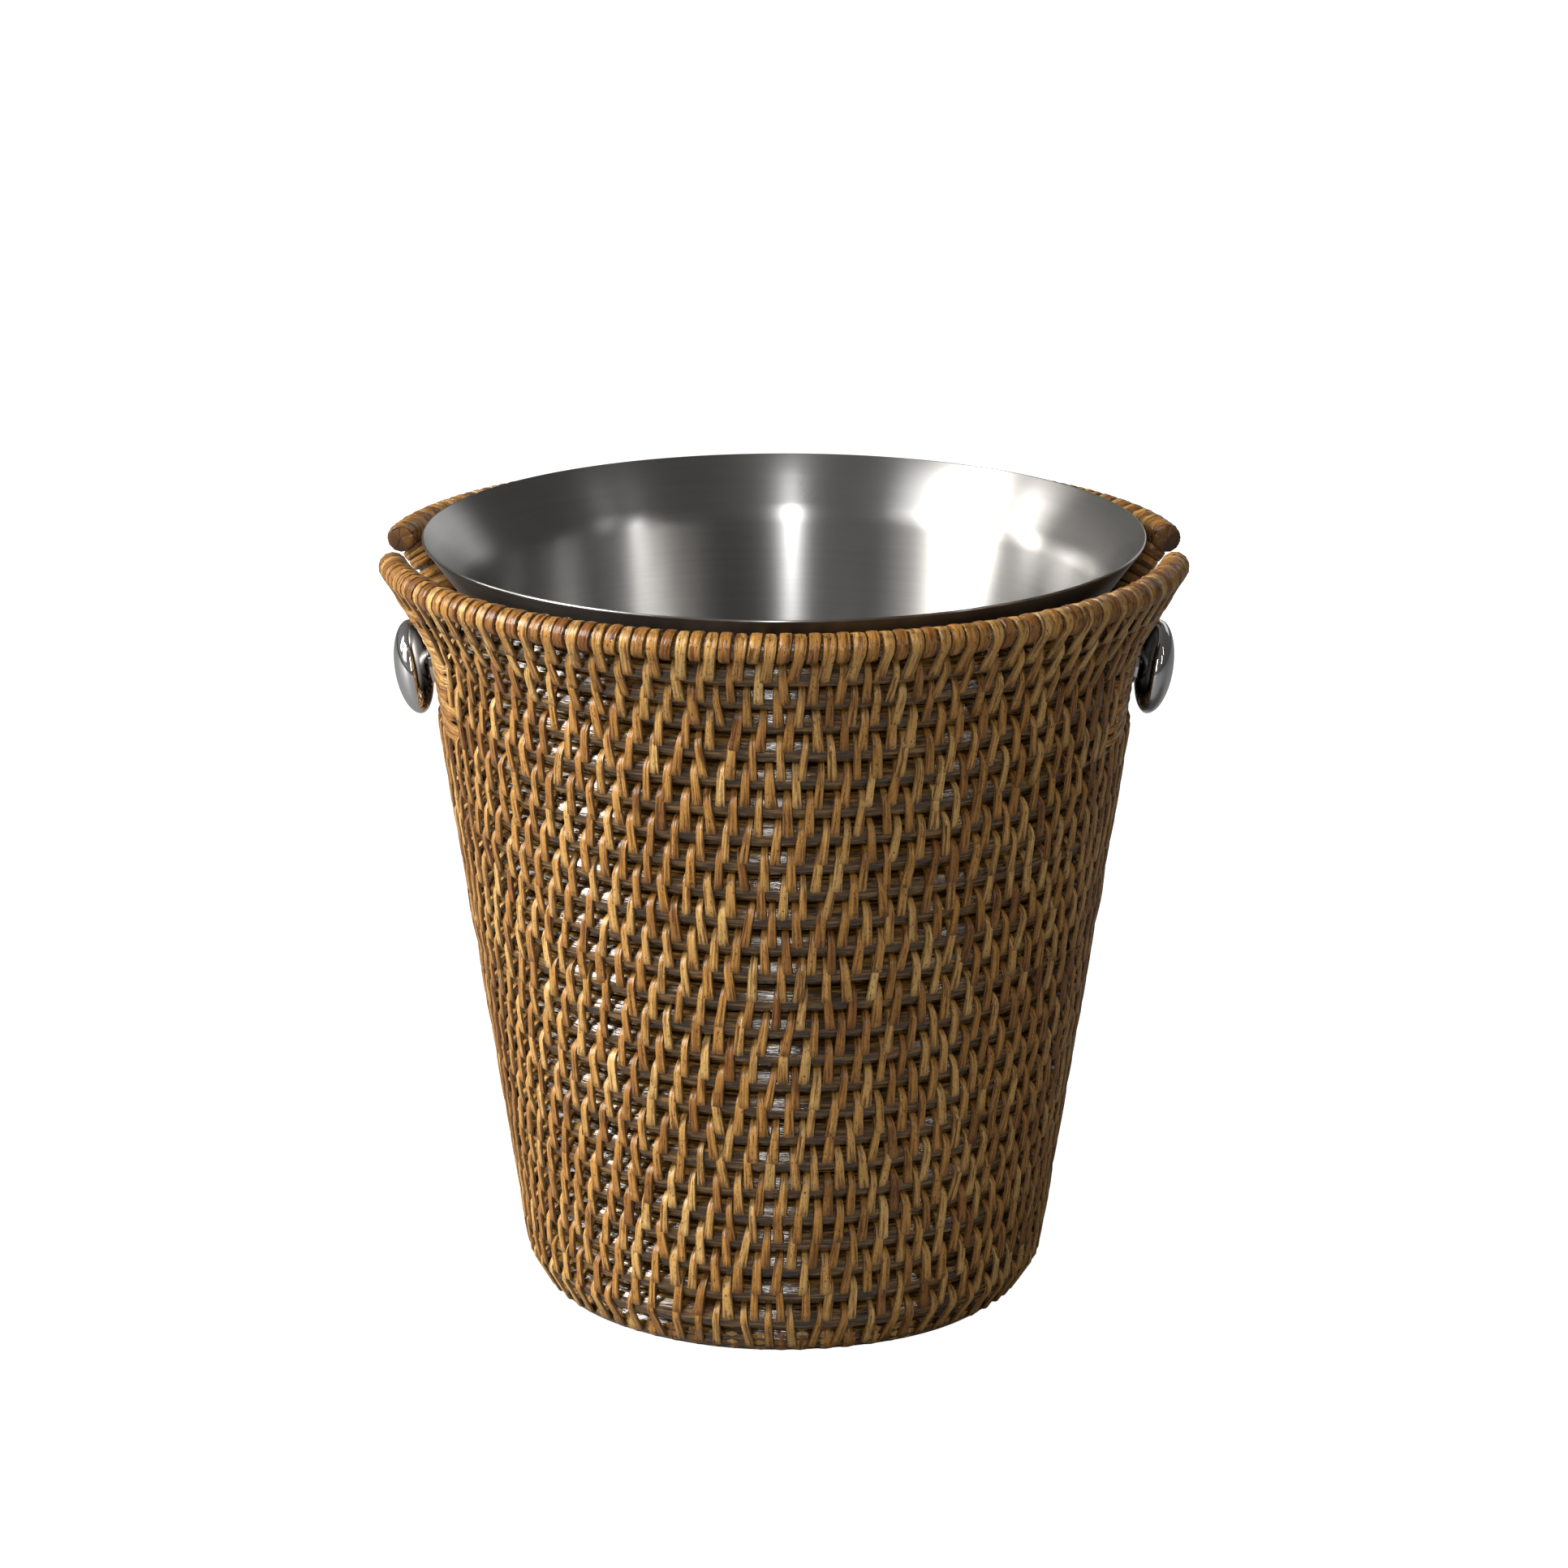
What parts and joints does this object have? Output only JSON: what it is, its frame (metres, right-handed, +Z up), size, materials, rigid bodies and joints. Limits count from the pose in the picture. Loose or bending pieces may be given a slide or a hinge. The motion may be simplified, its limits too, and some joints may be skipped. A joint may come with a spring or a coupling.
{
  "type": "champagne bucket",
  "caption": "Steel champagne bucket with a flared lip and side knobs, standing in a coiled rattan sleeve that it lifts out of.",
  "frame": {"origin": "on the surface that the sleeve stands on, under its centre", "axes": "+Z up; +X and -X through the two knobs; -Y is the side the object is seen from"},
  "size_m": [0.252, 0.2558, 0.2457],
  "materials": {
    "brushed_steel": "satin, brushed round the bucket",
    "polished_steel": "polished",
    "stud_steel": "plain turned",
    "rattan_cane": "dark stained and varnished cane, glossy",
    "rattan_peel": "stained rattan peel, satin"
  },
  "bodies": {
    "basket": {"base_mat": "rattan_cane", "foot_course": "rattan_cane", "rim_rod_back": "rattan_cane", "rim_rod_front": "rattan_cane", "rim_winding_back": "rattan_peel", "rim_winding_front": "rattan_peel", "slot_post_back_left": "rattan_cane", "slot_post_back_right": "rattan_cane", "slot_post_front_left": "rattan_cane", "slot_post_front_right": "rattan_cane", "slot_winding_back_left": "rattan_peel", "slot_winding_back_right": "rattan_peel", "slot_winding_front_left": "rattan_peel", "slot_winding_front_right": "rattan_peel", "wall_course_01": "rattan_cane", "wall_course_02": "rattan_cane", "wall_course_03": "rattan_cane", "wall_course_04": "rattan_cane", "wall_course_05": "rattan_cane", "wall_course_06": "rattan_cane", "wall_course_07": "rattan_cane", "wall_course_08": "rattan_cane", "wall_course_09": "rattan_cane", "wall_course_10": "rattan_cane", "wall_course_11": "rattan_cane", "wall_course_12": "rattan_cane", "wall_course_13": "rattan_cane", "wall_course_14": "rattan_cane", "wall_course_15": "rattan_cane", "wall_course_16": "rattan_cane", "wall_course_17": "rattan_cane", "wall_course_18": "rattan_cane", "wall_course_19": "rattan_cane", "wall_course_20": "rattan_cane", "wall_course_21_back": "rattan_cane", "wall_course_21_front": "rattan_cane", "wall_course_22_back": "rattan_cane", "wall_course_22_front": "rattan_cane", "wall_course_23_back": "rattan_cane", "wall_course_23_front": "rattan_cane", "wall_course_24_back": "rattan_cane", "wall_course_24_front": "rattan_cane", "wall_course_25_back": "rattan_cane", "wall_course_25_front": "rattan_cane"},
    "bucket": {"bucket_shell": "brushed_steel", "knob_left": "polished_steel", "knob_neck_left": "polished_steel", "knob_neck_right": "polished_steel", "knob_right": "polished_steel", "knob_stud_left": "stud_steel", "knob_stud_right": "stud_steel"}
  },
  "joints": [
    {"name": "bucket_lift", "type": "slide", "parent": "basket", "child": "bucket", "axis": [0, 0, 1], "range_m": [0, 0.25]}
  ]
}
